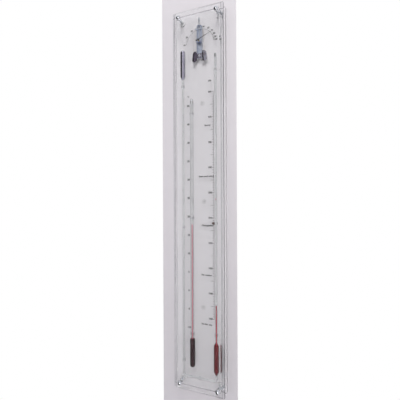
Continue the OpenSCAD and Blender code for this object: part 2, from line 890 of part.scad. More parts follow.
// Flat spiral spring that keeps the hair tight
module hairspring() {
  steps = spring_steps_per_turn * spring_turns;
  step_angle = 360 / spring_steps_per_turn;
  function spring_r(i) = spring_inner_r + (spring_outer_r - spring_inner_r) * i / steps;
  function spiral_point(i, shift) = (spring_r(i) + shift) * [cos(step_angle * i), sin(step_angle * i)];
  color([0.35, 0.38, 0.45])
    sheet(spring_depth, spring_h)
      polygon(concat(
        [for (i = [0:steps]) spiral_point(i, -spring_t / 2)],
        [for (i = [steps:-1:0]) spiral_point(i, spring_t / 2)]
      ));
}

module pointer_hub() {
  color([0.16, 0.16, 0.18])
    difference() {
      union() {
        sheet(hub_start, hub_t) circle(d = hub_d);
        sheet(hub_start, hub_t + pointer_t) circle(d = hub_spigot_d);
      }
      sheet(hub_start - cut_over, hub_t + pointer_t + 2 * cut_over) circle(d = arbor_d + 2 * fit_clear);
    }
}

// Thin needle with an eye at its hub and a short tail
module pointer() {
  color([0.16, 0.16, 0.18])
    sheet(pointer_start, pointer_t)
      rotate(pointer_angle)
        difference() {
          union() {
            circle(d = hub_d);
            polygon([[0, needle_root_w / 2], [0, -needle_root_w / 2],
                     [pointer_len, -needle_tip_w / 2], [pointer_len, needle_tip_w / 2]]);
            translate([-tail_len, -needle_root_w / 2]) square([tail_len, needle_root_w]);
            translate([-tail_len, 0]) circle(d = tail_pad_d);
          }
          circle(d = hub_spigot_d + 2 * fit_clear);
        }
}

// Small round cap that presses the needle on the hub
module hub_cap() {
  color([0.16, 0.16, 0.18])
    difference() {
      sheet(hub_cap_start, hub_cap_t) circle(d = hub_cap_d);
      sheet(hub_cap_start - cut_over, hub_cap_t / 2 + cut_over) circle(d = arbor_d + 2 * fit_clear);
    }
}

module counterweight() {
  color([0.16, 0.16, 0.18])
    sheet(hub_cap_start, counterweight_t)
      rotate(pointer_angle)
        translate([-tail_len, 0]) circle(d = counterweight_d);
}

front_plate();
back_plate();
wall_studs();
dome_caps();
cap_washers();
spacer_tubes();
clamp_nuts();
clamp_washers();
wall_standoffs();
siphon_tube();
siphon_liquid();
vent_plug();
siphon_saddles();
thermometer_tube();
thermometer_liquid();
thermometer_saddles();
index_clip();
index_pointer();
hygrometer_frame();
hygrometer_foot();
frame_screws();
frame_nuts();
hair_bar();
hair_bundle();
adjusting_screw();
arbor_bridge();
arbor_bushes();
arbor();
hairspring();
pointer_hub();
pointer();
hub_cap();
counterweight();
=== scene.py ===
import math
import bpy
import bmesh
from mathutils import Matrix, Vector


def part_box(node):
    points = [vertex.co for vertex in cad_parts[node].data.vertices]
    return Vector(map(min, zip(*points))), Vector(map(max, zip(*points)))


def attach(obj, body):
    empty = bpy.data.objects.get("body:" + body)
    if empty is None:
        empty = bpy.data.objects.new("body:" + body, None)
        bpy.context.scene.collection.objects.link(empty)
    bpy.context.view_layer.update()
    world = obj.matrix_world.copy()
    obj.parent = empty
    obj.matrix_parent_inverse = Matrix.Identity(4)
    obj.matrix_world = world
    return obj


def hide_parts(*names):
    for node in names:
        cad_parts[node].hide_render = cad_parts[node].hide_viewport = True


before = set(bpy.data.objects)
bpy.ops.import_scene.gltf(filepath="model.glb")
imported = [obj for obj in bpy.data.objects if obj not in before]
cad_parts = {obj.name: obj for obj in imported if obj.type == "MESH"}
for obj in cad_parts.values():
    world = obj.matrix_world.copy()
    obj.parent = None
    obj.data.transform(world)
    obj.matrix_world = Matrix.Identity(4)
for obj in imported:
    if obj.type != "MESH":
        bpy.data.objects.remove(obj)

# Camera. A phone held level, a little to the right of the panel and about 0.7 m in front of it.
# Its place was fitted to the four caps and to the rear ends of their studs.
scene = bpy.context.scene
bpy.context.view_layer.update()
camera_place = (0.2658, -0.7292, 0.0011)
camera_turn = math.radians(21.43)
camera_roll = math.radians(0.2525)


def scene_object(name, data):
    """A new object in the scene, at the origin"""
    thing = bpy.data.objects.new(name, data)
    scene.collection.objects.link(thing)
    return thing


camera = scene_object("camera", bpy.data.cameras.new("camera"))
camera.data.sensor_width = 36
camera.data.lens = 26
camera.data.shift_x = 0.012
camera.matrix_world = (Matrix.Translation(camera_place) @ Matrix.Rotation(camera_turn, 4, "Z")
                       @ Matrix.Rotation(camera_roll, 4, "Y") @ Matrix.Rotation(math.radians(90), 4, "X"))
scene.camera = camera
scene.view_settings.view_transform = "Standard"

# Front plate. Clear cast acrylic with a wide bevel around its face, sawn, milled and flame polished,
# so that only faint handling marks are left. Its arrises and sides are painted dark and its ends grey,
# as painted shade, and its left bevel is painted a little darker than its face.
MM = 0.001
clear_gloss = 0.3
wave_height = 0.2 * MM


def add_node(tree, kind, links=(), **settings):
    """A node with its settings, and links into its inputs given as (input, output socket or plain value)"""
    node = tree.nodes.new(kind)
    for key, value in settings.items():
        setattr(node, key, value)
    for target, source in links:
        if isinstance(source, bpy.types.NodeSocket):
            tree.links.new(source, node.inputs[target])
        else:
            node.inputs[target].default_value = source
    return node


def calc(tree, operation, *values):
    """What a math node gives"""
    return add_node(tree, "ShaderNodeMath", enumerate(values), operation=operation).outputs[0]


def blend(tree, share, below, above):
    """A mix of two colours"""
    return add_node(tree, "ShaderNodeMix", [(0, share), (6, below), (7, above)], data_type="RGBA").outputs[2]


def between(tree, share, low, high):
    """A mix of two plain values"""
    return add_node(tree, "ShaderNodeMix", [(0, share), (2, low), (3, high)]).outputs[0]


def rescale(tree, value, from_low, from_high, to_low=0.0, to_high=1.0):
    """A value brought from one range to another, and kept inside it"""
    return add_node(tree, "ShaderNodeMapRange", [
        ("Value", value), ("From Min", from_low), ("From Max", from_high),
        ("To Min", to_low), ("To Max", to_high)]).outputs[0]


def speckle(tree, vector, scale, detail):
    """Soft noise over a vector"""
    noise = add_node(tree, "ShaderNodeTexNoise", [("Vector", vector), ("Scale", scale), ("Detail", detail)])
    return noise.outputs[0]


def object_place(tree):
    """Where on the object the shaded point is"""
    return add_node(tree, "ShaderNodeTexCoord").outputs["Object"]


def stretched_place(tree, stretch):
    """The same place, stretched along the axes so that a grain runs one way"""
    return add_node(tree, "ShaderNodeVectorMath", [(0, object_place(tree)), (1, stretch)],
                    operation="MULTIPLY").outputs[0]


def split(tree, vector):
    """The three parts of a vector"""
    return add_node(tree, "ShaderNodeSeparateXYZ", [(0, vector)]).outputs


def shader_group(name, inputs, outputs):
    """An empty shader node group with named sockets, what it is given, and where its results go"""
    group = bpy.data.node_groups.new(name, "ShaderNodeTree")
    for side, sockets in (("INPUT", inputs), ("OUTPUT", outputs)):
        for label, kind in sockets:
            group.interface.new_socket(label, in_out=side, socket_type="NodeSocket" + kind)
    return group, group.nodes.new("NodeGroupInput").outputs, group.nodes.new("NodeGroupOutput").inputs


def new_material(name, colour=(0.8, 0.8, 0.8)):
    """A material, its node tree and its main shader"""
    material = bpy.data.materials.new(name)
    material.use_nodes = True
    shader = material.node_tree.nodes["Principled BSDF"]
    shader.inputs["Base Color"].default_value = (*colour, 1)
    return material, material.node_tree, shader


def raise_grain(tree, shader, height, strength, distance):
    """Lets a height tilt the shader's normal"""
    bump = add_node(tree, "ShaderNodeBump", [
        ("Strength", strength), ("Distance", distance), ("Height", height)])
    tree.links.new(bump.outputs[0], shader.inputs["Normal"])


def handling_haze():
    """Smears and faint waves that handling and drawing leave on something clear"""
    smear_from = 0.45
    smear_full = 0.75
    group, given, result = shader_group(
        "handling_haze", [("Stretch", "Vector"), ("Smear Scale", "Float"), ("Most Roughness", "Float")],
        [("Roughness", "Float"), ("Height", "Float")])
    smear = speckle(group, stretched_place(group, given["Stretch"]), given["Smear Scale"], detail=4)
    roughness = rescale(group, smear, smear_from, smear_full, 0, given["Most Roughness"])
    group.links.new(roughness, result["Roughness"])
    group.links.new(smear, result["Height"])
    return group


haze_group = handling_haze()


def clear_material(name, tint, index, stretch, smear_scale, most_roughness, wave, lamp_share,
                   gloss=clear_gloss):
    """Something clear: glass for the eye, and a faint tint for the lamps' light that falls through it"""
    material, tree, shader = new_material(name, tint)
    shader.inputs["Transmission Weight"].default_value = 1
    shader.inputs["IOR"].default_value = index
    shader.inputs["Specular Tint"].default_value = (gloss, gloss, gloss, 1)
    haze = add_node(tree, "ShaderNodeGroup", node_tree=haze_group, links=[
        ("Stretch", stretch), ("Smear Scale", smear_scale), ("Most Roughness", most_roughness)])
    tree.links.new(haze.outputs["Roughness"], shader.inputs["Roughness"])
    raise_grain(tree, shader, haze.outputs["Height"], wave, wave_height)
    lamp_light = add_node(tree, "ShaderNodeBsdfTransparent",
                          [("Color", (lamp_share, lamp_share, lamp_share, 1))])
    ray = add_node(tree, "ShaderNodeLightPath")
    mix = add_node(tree, "ShaderNodeMixShader", [
        (0, ray.outputs["Is Shadow Ray"]), (1, shader.outputs[0]), (2, lamp_light.outputs[0])])
    tree.links.new(mix.outputs[0], tree.nodes["Material Output"].inputs["Surface"])
    return material


def dress(material, *nodes):
    """Gives the material to whole CAD nodes"""
    for node in nodes:
        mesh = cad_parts[node].data
        mesh.materials.clear()
        mesh.materials.append(material)


def plate_edges():
    """Colour and roughness of a clear plate, with painted shade on its left bevel, arrises, sides and ends"""
    leaning = 0.3
    facing = 0.5
    square_on = 0.8
    inner_loss = -0.2
    group, given, result = shader_group(
        "plate_edges",
        [(label, "Color") for label in ("Face", "Left Bevel", "Arris", "Side", "End")]
        + [(label, "Float") for label in (
            "Half Width", "Half Height", "Bevel Width", "Arris Width", "Face Roughness", "Side Roughness")],
        [("Color", "Color"), ("Roughness", "Float")])
    normal = split(group, add_node(group, "ShaderNodeNewGeometry").outputs["Normal"])
    place = split(group, object_place(group))
    from_side = calc(group, "SUBTRACT", given["Half Width"], calc(group, "ABSOLUTE", place[0]))
    from_end = calc(group, "SUBTRACT", given["Half Height"], calc(group, "ABSOLUTE", place[2]))
    # The arris lines are painted shade: the outer one twice as wide on the right, the inner one at the
    # bevel's edge.
    on_right = calc(group, "GREATER_THAN", place[0], 0)
    outer_width = calc(group, "MULTIPLY_ADD", on_right, given["Arris Width"], given["Arris Width"])
    inner_width = calc(group, "MULTIPLY_ADD", outer_width, inner_loss, given["Arris Width"])
    outer_arris = calc(group, "LESS_THAN", calc(group, "MINIMUM", from_side, from_end), outer_width)
    inner_arris = calc(group, "COMPARE", from_side, given["Bevel Width"], inner_width)
    on_front = calc(group, "LESS_THAN", normal[1], -facing)
    arris = calc(group, "MULTIPLY", on_front, calc(group, "MAXIMUM", outer_arris, inner_arris))
    side = calc(group, "GREATER_THAN", calc(group, "ABSOLUTE", normal[0]), square_on)
    left_bevel = calc(group, "LESS_THAN", normal[0], -leaning)
    sawn_end = calc(group, "GREATER_THAN", calc(group, "ABSOLUTE", normal[2]), square_on)
    colour = given["Face"]
    for share, label in ((left_bevel, "Left Bevel"), (arris, "Arris"), (side, "Side"), (sawn_end, "End")):
        colour = blend(group, share, colour, given[label])
    group.links.new(colour, result["Color"])
    roughness = between(group, side, given["Face Roughness"], given["Side Roughness"])
    group.links.new(roughness, result["Roughness"])
    return group


edge_shade_group = plate_edges()


def plate_material(name, node, colours, smear_scale, bevel_width, arris_width, side_roughness):
    """Clear sheet with a tint on its face and painted shade on its left bevel, arrises, sides and ends"""
    material = clear_material(name, colours["Face"], index=1.49, stretch=(1, 1, 1), smear_scale=smear_scale,
                              most_roughness=0.012, wave=0.03, lamp_share=0.98)
    tree = material.node_tree
    shader = tree.nodes["Principled BSDF"]
    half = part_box(node)[1]
    edges = add_node(tree, "ShaderNodeGroup", node_tree=edge_shade_group, links=[
        ("Half Width", half.x), ("Half Height", half.z), ("Bevel Width", bevel_width),
        ("Arris Width", arris_width), ("Side Roughness", side_roughness),
        ("Face Roughness", shader.inputs["Roughness"].links[0].from_socket)]
        + [(label, (*colour, 1)) for label, colour in colours.items()])
    tree.links.new(edges.outputs["Color"], shader.inputs["Base Color"])
    tree.links.new(edges.outputs["Roughness"], shader.inputs["Roughness"])
    return material


# Face tint, and painted shade on the left bevel, arrises, sides and ends.
front_tint_and_shades = {"Face": (0.985, 0.992, 0.992), "Left Bevel": (0.78, 0.78, 0.80), "Arris": (0.10, 0.10, 0.12),
                 "Side": (0.10, 0.10, 0.12), "End": (0.60, 0.60, 0.64)}
front_acrylic = plate_material(
    "front_acrylic", "front_plate", front_tint_and_shades, smear_scale=14, bevel_width=6.4 * MM,
    arris_width=0.55 * MM, side_roughness=0.05)
dress(front_acrylic, "front_plate")

# Back plate. The same clear acrylic, sawn from a thinner sheet with matt sides and without a bevel.
# It carries the scales and the instruments, and it hangs on the stand-offs. Its arrises carry faint
# painted shade lines and its sawn ends dark painted shade.
no_bevel = 1000 * MM
back_tint_and_shades = {"Face": (0.98, 0.988, 0.988), "Left Bevel": (0.98, 0.988, 0.988), "Arris": (0.60, 0.60, 0.63),
                "Side": (0.98, 0.98, 0.98), "End": (0.12, 0.12, 0.14)}
back_acrylic = plate_material(
    "back_acrylic", "back_plate", back_tint_and_shades, smear_scale=11, bevel_width=no_bevel, arris_width=0.45 * MM,
    side_roughness=0.6)
dress(back_acrylic, "back_plate")

# Wall studs. Zinc-plated steel rods with a machine thread in front of the wall and a coarse
# screw end in it. The threads are rolled, and the four rods are alike.
cap_r = 5.75 * MM
cap_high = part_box("dome_caps")[1]
stud_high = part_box("wall_studs")[1]
fixing_x = cap_high.x - cap_r
fixing_z = cap_high.z - cap_r
stud_r = 2.45 * MM
screw_r = stud_high.x - fixing_x
stud_end = stud_high.y
stud_point = 6 * MM
blunt_tip_r = 0.15 * MM
thread_pitch = 0.8 * MM
thread_depth = 0.45 * MM
screw_pitch = 2.4 * MM
screw_depth = 0.9 * MM
steps_per_turn = 24
rings_per_pitch = 6


def worked_metal():
    """Grain, stains and small scratches of a worked or plated metal, as colour, roughness and height"""
    grain_from = 0.3
    grain_full = 0.7
    stain_from = 0.4
    stain_full = 0.8
    group, given, result = shader_group(
        "worked_metal",
        [("Metal", "Color"), ("Stain", "Color"), ("Stretch", "Vector"), ("Grain Scale", "Float"),
         ("Least Roughness", "Float"), ("Most Roughness", "Float")],
        [("Color", "Color"), ("Roughness", "Float"), ("Height", "Float")])
    grain = speckle(group, stretched_place(group, given["Stretch"]), given["Grain Scale"], detail=5)
    stain = speckle(group, object_place(group), scale=160, detail=3)
    stain_share = rescale(group, stain, stain_from, stain_full)
    group.links.new(blend(group, stain_share, given["Metal"], given["Stain"]), result["Color"])
    roughness = rescale(group, grain, grain_from, grain_full,
                        given["Least Roughness"], given["Most Roughness"])
    group.links.new(roughness, result["Roughness"])
    group.links.new(grain, result["Height"])
    return group


metal_group = worked_metal()


def metal_material(name, metal, stain, grain, least, most, depth, stretch=(1, 1, 1)):
    """A bare or plated metal with its grain's scale and depth and its least and most roughness"""
    material, tree, shader = new_material(name)
    shader.inputs["Metallic"].default_value = 1
    surface = add_node(tree, "ShaderNodeGroup", node_tree=metal_group, links=[
        ("Metal", (*metal, 1)), ("Stain", (*stain, 1)), ("Stretch", stretch), ("Grain Scale", grain),
        ("Least Roughness", least), ("Most Roughness", most)])
    tree.links.new(surface.outputs["Color"], shader.inputs["Base Color"])
    tree.links.new(surface.outputs["Roughness"], shader.inputs["Roughness"])
    raise_grain(tree, shader, surface.outputs["Height"], strength=0.4, distance=depth)
    return material


zinc_steel = metal_material(
    "zinc_steel", (0.74, 0.75, 0.78), (0.58, 0.59, 0.62), grain=900, least=0.2, most=0.4, depth=0.02 * MM)


def thread_groove(along, angle, pitch, depth):
    """How deep a rolled thread is cut at this place along the rod and this angle around it"""
    turn = (along / pitch - angle / math.tau) % 1
    return depth * abs(2 * turn - 1)


def stud_radius(y, angle):
    """Radius of the stud at a depth and an angle: machine thread, screw thread and point"""
    if y < 0:
        return stud_r - thread_groove(y, angle, thread_pitch, thread_depth)
    to_point = min(1, (stud_end - y) / stud_point)
    groove = thread_groove(y, angle, screw_pitch, screw_depth)
    return max(blunt_tip_r, (screw_r - groove) * to_point)


def built_mesh(name, mesh_builder):
    """A mesh of what the builder has collected"""
    mesh = bpy.data.meshes.new(name)
    mesh_builder.to_mesh(mesh)
    mesh_builder.free()
    return mesh


def threaded_stud():
    """One stud on the Y axis, from under its cap to its point, as a closed surface of rings"""
    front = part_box("wall_studs")[0].y
    machine_rings = int(-front / thread_pitch * rings_per_pitch)
    screw_rings = int(stud_end / screw_pitch * 2 * rings_per_pitch)
    depths = [front - front * i / machine_rings for i in range(machine_rings)]
    depths += [stud_end * i / screw_rings for i in range(screw_rings + 1)]
    mesh_builder = bmesh.new()
    rings = []
    for y in depths:
        ring = []
        for step in range(steps_per_turn):
            angle = math.tau * step / steps_per_turn
            radius = stud_radius(y, angle)
            ring.append(mesh_builder.verts.new((radius * math.cos(angle), y, radius * math.sin(angle))))
        rings.append(ring)
    for near, far in zip(rings, rings[1:]):
        for step in range(steps_per_turn):
            after = (step + 1) % steps_per_turn
            mesh_builder.faces.new((near[step], near[after], far[after], far[step]))
    mesh_builder.faces.new(rings[0])
    mesh_builder.faces.new(rings[-1])
    bmesh.ops.recalc_face_normals(mesh_builder, faces=mesh_builder.faces)
    return built_mesh("threaded_stud", mesh_builder)


def geometry_tree(name, inputs):
    """An empty Geometry Nodes tree with named inputs, what it is given, and where its geometry goes"""
    tree = bpy.data.node_groups.new(name, "GeometryNodeTree")
    tree.interface.new_socket("Geometry", in_out="OUTPUT", socket_type="NodeSocketGeometry")
    for label, kind in inputs:
        tree.interface.new_socket(label, in_out="INPUT", socket_type="NodeSocket" + kind)
    return tree, tree.nodes.new("NodeGroupInput").outputs, tree.nodes.new("NodeGroupOutput").inputs[0]


def close_tree(tree, result, geometry, material):
    """Ends a tree in real geometry of one material"""
    real = add_node(tree, "GeometryNodeRealizeInstances", [(0, geometry)])
    finished = add_node(tree, "GeometryNodeSetMaterial", [(0, real.outputs[0]), ("Material", material)])
    tree.links.new(finished.outputs[0], result)


def finished_mesh(thing):
    """The plain mesh that an object's modifiers or letters give. The object itself is removed."""
    depsgraph = bpy.context.evaluated_depsgraph_get()
    mesh = bpy.data.meshes.new_from_object(thing.evaluated_get(depsgraph), depsgraph=depsgraph)
    bpy.data.objects.remove(thing)
    return mesh


def grow(name, tree, values):
    """What a tree makes with these values, as a plain mesh object at the origin"""
    seed = scene_object(name + "_seed", bpy.data.meshes.new(name + "_seed"))
    modifier = seed.modifiers.new("grow", "NODES")
    modifier.node_group = tree
    for item in tree.interface.items_tree:
        if item.in_out == "INPUT":
            modifier[item.identifier] = values[item.name]
    return scene_object(name, finished_mesh(seed))


def four_corners_tree():
    """Copies of one piece at the corners of an upright rectangle"""
    tree, given, result = geometry_tree("four_corners", [
        ("Piece", "Object"), ("Width", "Float"), ("Height", "Float")])
    corners = add_node(tree, "GeometryNodeMeshGrid", [
        ("Size X", given["Width"]), ("Size Y", given["Height"]), ("Vertices X", 2), ("Vertices Y", 2)])
    upright = add_node(tree, "GeometryNodeTransform", [
        (0, corners.outputs[0]), ("Rotation", (math.radians(90), 0, 0))])
    piece = add_node(tree, "GeometryNodeObjectInfo", [("Object", given["Piece"])])
    copies = add_node(tree, "GeometryNodeInstanceOnPoints", [
        ("Points", upright.outputs[0]), ("Instance", piece.outputs["Geometry"])])
    close_tree(tree, result, copies.outputs[0], zinc_steel)
    return tree


one_stud = scene_object("one_stud", threaded_stud())
studs = grow("threaded_studs", four_corners_tree(),
             {"Piece": one_stud, "Width": 2 * fixing_x, "Height": 2 * fixing_z})
bpy.data.objects.remove(one_stud)
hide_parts("wall_studs")
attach(studs, "panel")

# Nuts and washers on the studs. Plated steel from stock, dull, and painted paler than the studs
# to lift the shade and dark reflections that they stand in.
# They clamp the back plate against the stand-offs. Small nuts and screws hold the hygrometer.
dull_zinc = metal_material(
    "dull_zinc", (0.86, 0.87, 0.89), (0.74, 0.75, 0.78), grain=700, least=0.5, most=0.7, depth=0.02 * MM)
dress(dull_zinc, "clamp_nuts", "clamp_washers", "frame_nuts")
dress(zinc_steel, "frame_screws")

# Dome caps and the washers under them. Brass turned, polished and chromium plated,
# screwed on the studs' front ends to hold the front plate.
mirror_chrome = metal_material(
    "mirror_chrome", (0.78, 0.79, 0.82), (0.70, 0.71, 0.75), grain=500, least=0.02, most=0.07,
    depth=0.004 * MM)
dress(mirror_chrome, "dome_caps", "cap_washers")

# Spacer tubes, tube clips and stand-offs. Moulded plastic with softly rounded edges: clear for the
# tubes and clips, white nylon for the four rings that hold the back plate off the wall.
touch_gap = 0.03 * MM
same_place = 0.001 * MM
sharp_edge = math.radians(50)


def matt_material(name, dark, light, grain, least, most, depth):
    """A matt or satin surface with its grain's scale and depth and its least and most roughness"""
    material, tree, shader = new_material(name)
    surface = speckle(tree, object_place(tree), grain, detail=6)
    tree.links.new(blend(tree, surface, (*dark, 1), (*light, 1)), shader.inputs["Base Color"])
    tree.links.new(rescale(tree, surface, 0, 1, least, most), shader.inputs["Roughness"])
    raise_grain(tree, shader, surface, strength=0.5, distance=depth)
    return material


def merged_copy(node):
    """A builder with the CAD node's mesh, its loose triangles joined"""
    mesh_builder = bmesh.new()
    mesh_builder.from_mesh(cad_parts[node].data)
    bmesh.ops.remove_doubles(mesh_builder, verts=mesh_builder.verts, dist=same_place)
    return mesh_builder


def remade_piece(name, node, mesh, material):
    """A piece of one material that stands for the CAD node"""
    mesh.materials.append(material)
    piece = scene_object(name, mesh)
    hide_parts(node)
    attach(piece, "panel")


def moulded_piece(name, node, material, rounding):
    """The CAD node with rounded edges, a hair's breadth clear of the plates that it touches"""
    low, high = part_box(node)
    mesh_builder = merged_copy(node)
    for corner in mesh_builder.verts:
        if abs(corner.co.y - low.y) < same_place:
            corner.co.y += touch_gap
        elif abs(corner.co.y - high.y) < same_place:
            corner.co.y -= touch_gap
    seed = scene_object(name + "_seed", built_mesh(name + "_seed", mesh_builder))
    bevel = seed.modifiers.new("rounding", "BEVEL")
    bevel.width = rounding
    bevel.segments = 2
    bevel.limit_method = "ANGLE"
    bevel.angle_limit = sharp_edge
    remade_piece(name, node, finished_mesh(seed), material)


along_mould = (1, 1, 0.4)
moulded_clear = clear_material(
    "moulded_clear", (0.97, 0.98, 0.985), index=1.47, stretch=along_mould, smear_scale=60,
    most_roughness=0.05, wave=0.05, lamp_share=0.85)
moulded_piece("moulded_spacers", "spacer_tubes", moulded_clear, 0.15 * MM)
soft_clear = clear_material(
    "soft_clear", (0.97, 0.975, 0.98), index=1.12, stretch=along_mould, smear_scale=60, most_roughness=0.03,
    wave=0.03, lamp_share=0.97)
moulded_piece("moulded_siphon_clips", "siphon_saddles", soft_clear, 0.12 * MM)
moulded_piece("moulded_thermometer_clips", "thermometer_saddles", soft_clear, 0.12 * MM)
white_nylon = matt_material(
    "white_nylon", (0.58, 0.57, 0.59), (0.68, 0.67, 0.69), grain=600, least=0.5, most=0.7, depth=0.02 * MM)
moulded_piece("moulded_standoffs", "wall_standoffs", white_nylon, 0.4 * MM)

# Siphon tube. Drawn soda glass, blown out to the gas reservoir and the liquid bulb and bent twice
# over a flame. Its rims are darkened with painted shade, fully on the right and less on the left, and
# the reservoir carries bands of painted shade, darkest on its left. The closed limb's left rim is painted
# darker towards its foot.
glass_gloss = 0.5
glass_clear = (0.975, 0.99, 0.985, 1)
# Colour of the painted shade at the glass's rims
rim_painted_shade = (0.08, 0.08, 0.10, 1)
along_glass = (1, 1, 0.05)
band_turn = 0.39
band_reach = 1.1
rim_turn = 0.6
foot_shade_from = -340 * MM
foot_shade_full = -620 * MM


def glass_shade():
    """Painted shade of drawn glass: darker at its rims, and in bands across it around a place"""
    group, given, result = shader_group(
        "glass_shade",
        [("Rim", "Float"), ("Left Rim", "Float"), ("Shade Band Place", "Vector"), ("Shade Band Radius", "Float"),
         ("Shade Band Half Height", "Float")],
        [("Color", "Color")])
    normal = split(group, add_node(group, "ShaderNodeNewGeometry").outputs["Normal"])
    from_shade_band = split(group, add_node(group, "ShaderNodeVectorMath", [
        (0, object_place(group)), (1, given["Shade Band Place"])], operation="SUBTRACT").outputs[0])
    near = calc(group, "LESS_THAN", calc(group, "ABSOLUTE", from_shade_band[0]),
                calc(group, "MULTIPLY", given["Shade Band Radius"], band_reach))
    lowness = rescale(group, from_shade_band[2], foot_shade_from, foot_shade_full)
    limb_foot = calc(group, "MULTIPLY", lowness, near)
    # Right-facing rims take the full painted shade, left-facing ones only the Left Rim share, more near the
    # closed limb's foot.
    rightness = rescale(group, normal[0], -rim_turn, rim_turn, given["Left Rim"], 1)
    rim_share = calc(group, "MULTIPLY", given["Rim"], calc(group, "MAXIMUM", rightness, limb_foot))
    rim = blend(group, rim_share, glass_clear, rim_painted_shade)
    # Bands of painted shade run across the tube as the camera sees it: dark on the left, paler in the middle,
    # grey on the right.
    across = calc(group, "MULTIPLY_ADD", from_shade_band[1], band_turn, from_shade_band[0])
    band = rescale(group, calc(group, "DIVIDE", across, given["Shade Band Radius"]), -1, 1)
    shade_bands = add_node(group, "ShaderNodeValToRGB", [(0, band)])
    shades = shade_bands.color_ramp.elements
    shades[0].color = (0.16, 0.15, 0.18, 1)
    shades[1].color = (0.62, 0.62, 0.66, 1)
    for position, colour in ((0.28, (0.24, 0.22, 0.26, 1)), (0.38, (0.80, 0.79, 0.86, 1)),
                             (0.56, (0.86, 0.85, 0.92, 1)), (0.68, (0.64, 0.63, 0.70, 1))):
        shades.new(position).color = colour
    inside = calc(group, "LESS_THAN", calc(group, "ABSOLUTE", from_shade_band[2]), given["Shade Band Half Height"])
    in_shade_band = calc(group, "MULTIPLY", inside, near)
    group.links.new(blend(group, in_shade_band, rim, shade_bands.outputs[0]), result["Color"])
    return group


shade_group = glass_shade()


def glass_material(name, left_rim, shade_band_place, shade_band_radius, shade_band_half_height):
    """Drawn glass with painted shade at its rims, and bands of painted shade around a place if their half
    height is not 0
    """
    rim_from = 0.1
    rim_full = 0.7
    material = clear_material(name, (1, 1, 1), index=1.51, stretch=along_glass, smear_scale=90,
                              most_roughness=0.01, wave=0.15, lamp_share=0.95, gloss=glass_gloss)
    tree = material.node_tree
    edge_on = add_node(tree, "ShaderNodeLayerWeight", [("Blend", 0.5)]).outputs["Facing"]
    rim = rescale(tree, edge_on, rim_from, rim_full)
    shade = add_node(tree, "ShaderNodeGroup", node_tree=shade_group, links=[
        ("Rim", rim), ("Left Rim", left_rim), ("Shade Band Place", shade_band_place),
        ("Shade Band Radius", shade_band_radius), ("Shade Band Half Height", shade_band_half_height)])
    tree.links.new(shade.outputs[0], tree.nodes["Principled BSDF"].inputs["Base Color"])
    return material


siphon_glass = glass_material(
    "siphon_glass", left_rim=0.35, shade_band_place=(-45 * MM, -20 * MM, 360 * MM), shade_band_radius=6.5 * MM,
    shade_band_half_height=38 * MM)
dress(siphon_glass, "siphon_tube")

# Barometer liquid. Spirit dyed red, which fills the bulb and stands in the open limb.
# It wets the glass, and a small drop of it has stayed behind higher up in the open limb.
spirit_index = 1.36
liquid_gloss = 0.4
wetting_depth = 0.25 * MM
thread_blend = 2 * MM


def liquid_material(name, deep, pale, thread, thread_z):
    """A dyed liquid, slightly cloudy, dark where it is deep and paler in the thread above a height"""
    material, tree, shader = new_material(name)
    shader.inputs["IOR"].default_value = spirit_index
    shader.inputs["Specular Tint"].default_value = (liquid_gloss, liquid_gloss, liquid_gloss, 1)
    place = object_place(tree)
    cloud = speckle(tree, place, scale=45, detail=3)
    in_thread = rescale(tree, split(tree, place)[2], thread_z - thread_blend, thread_z)
    colour = blend(tree, in_thread, blend(tree, cloud, (*deep, 1), (*pale, 1)), (*thread, 1))
    tree.links.new(colour, shader.inputs["Base Color"])
    tree.links.new(rescale(tree, cloud, 0, 1, 0.03, 0.12), shader.inputs["Roughness"])
    return material


def wetting_liquid(name, node, material):
    """The CAD node swollen just into the glass, as a liquid that wets it leaves no gap that could mirror"""
    mesh_builder = merged_copy(node)
    mesh_builder.normal_update()
    for corner, normal in [(corner, corner.normal.copy()) for corner in mesh_builder.verts]:
        corner.co += normal * wetting_depth
    mesh = built_mesh(name, mesh_builder)
    mesh.shade_smooth()
    remade_piece(name, node, mesh, material)


red_spirit = liquid_material(
    "red_spirit", (0.15, 0.014, 0.018), (0.23, 0.022, 0.028), (0.40, 0.03, 0.05), thread_z=-368 * MM)
wetting_liquid("barometer_liquid", "siphon_liquid", red_spirit)
drop_place = (45 * MM, -20 * MM, 3 * MM)
drop_half = (0.95 * MM, 0.95 * MM, 1.6 * MM)
drop_builder = bmesh.new()
bmesh.ops.create_uvsphere(drop_builder, u_segments=24, v_segments=16, radius=1, matrix=(
    Matrix.Translation(drop_place) @ Matrix.Diagonal((*drop_half, 1))))
stranded_drop = scene_object("stranded_drop", built_mesh("stranded_drop", drop_builder))
stranded_drop.data.materials.append(red_spirit)
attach(stranded_drop, "panel")

# Vent plug. A short rod of porous grey felt, pressed into the open end of the siphon tube.
# It lets the air through and keeps the dust out.
dark_felt = matt_material(
    "dark_felt", (0.14, 0.14, 0.145), (0.28, 0.28, 0.29), grain=2500, least=0.8, most=1.0, depth=0.1 * MM)
dress(dark_felt, "vent_plug")

# Thermometer tube and liquid. The same drawn glass with a fine bore, closed at both ends,
# and filled with spirit of a much darker red.
# Both of its rims carry the full painted shade, and it has no bands of painted shade.
stem_glass = glass_material(
    "stem_glass", left_rim=1.0, shade_band_place=(0, 0, 0), shade_band_radius=4 * MM, shade_band_half_height=0)
dress(stem_glass, "thermometer_tube")
dark_spirit = liquid_material(
    "dark_spirit", (0.028, 0.006, 0.009), (0.050, 0.010, 0.014), (0.52, 0.17, 0.22), thread_z=-362 * MM)
wetting_liquid("thermometer_filling", "thermometer_liquid", dark_spirit)

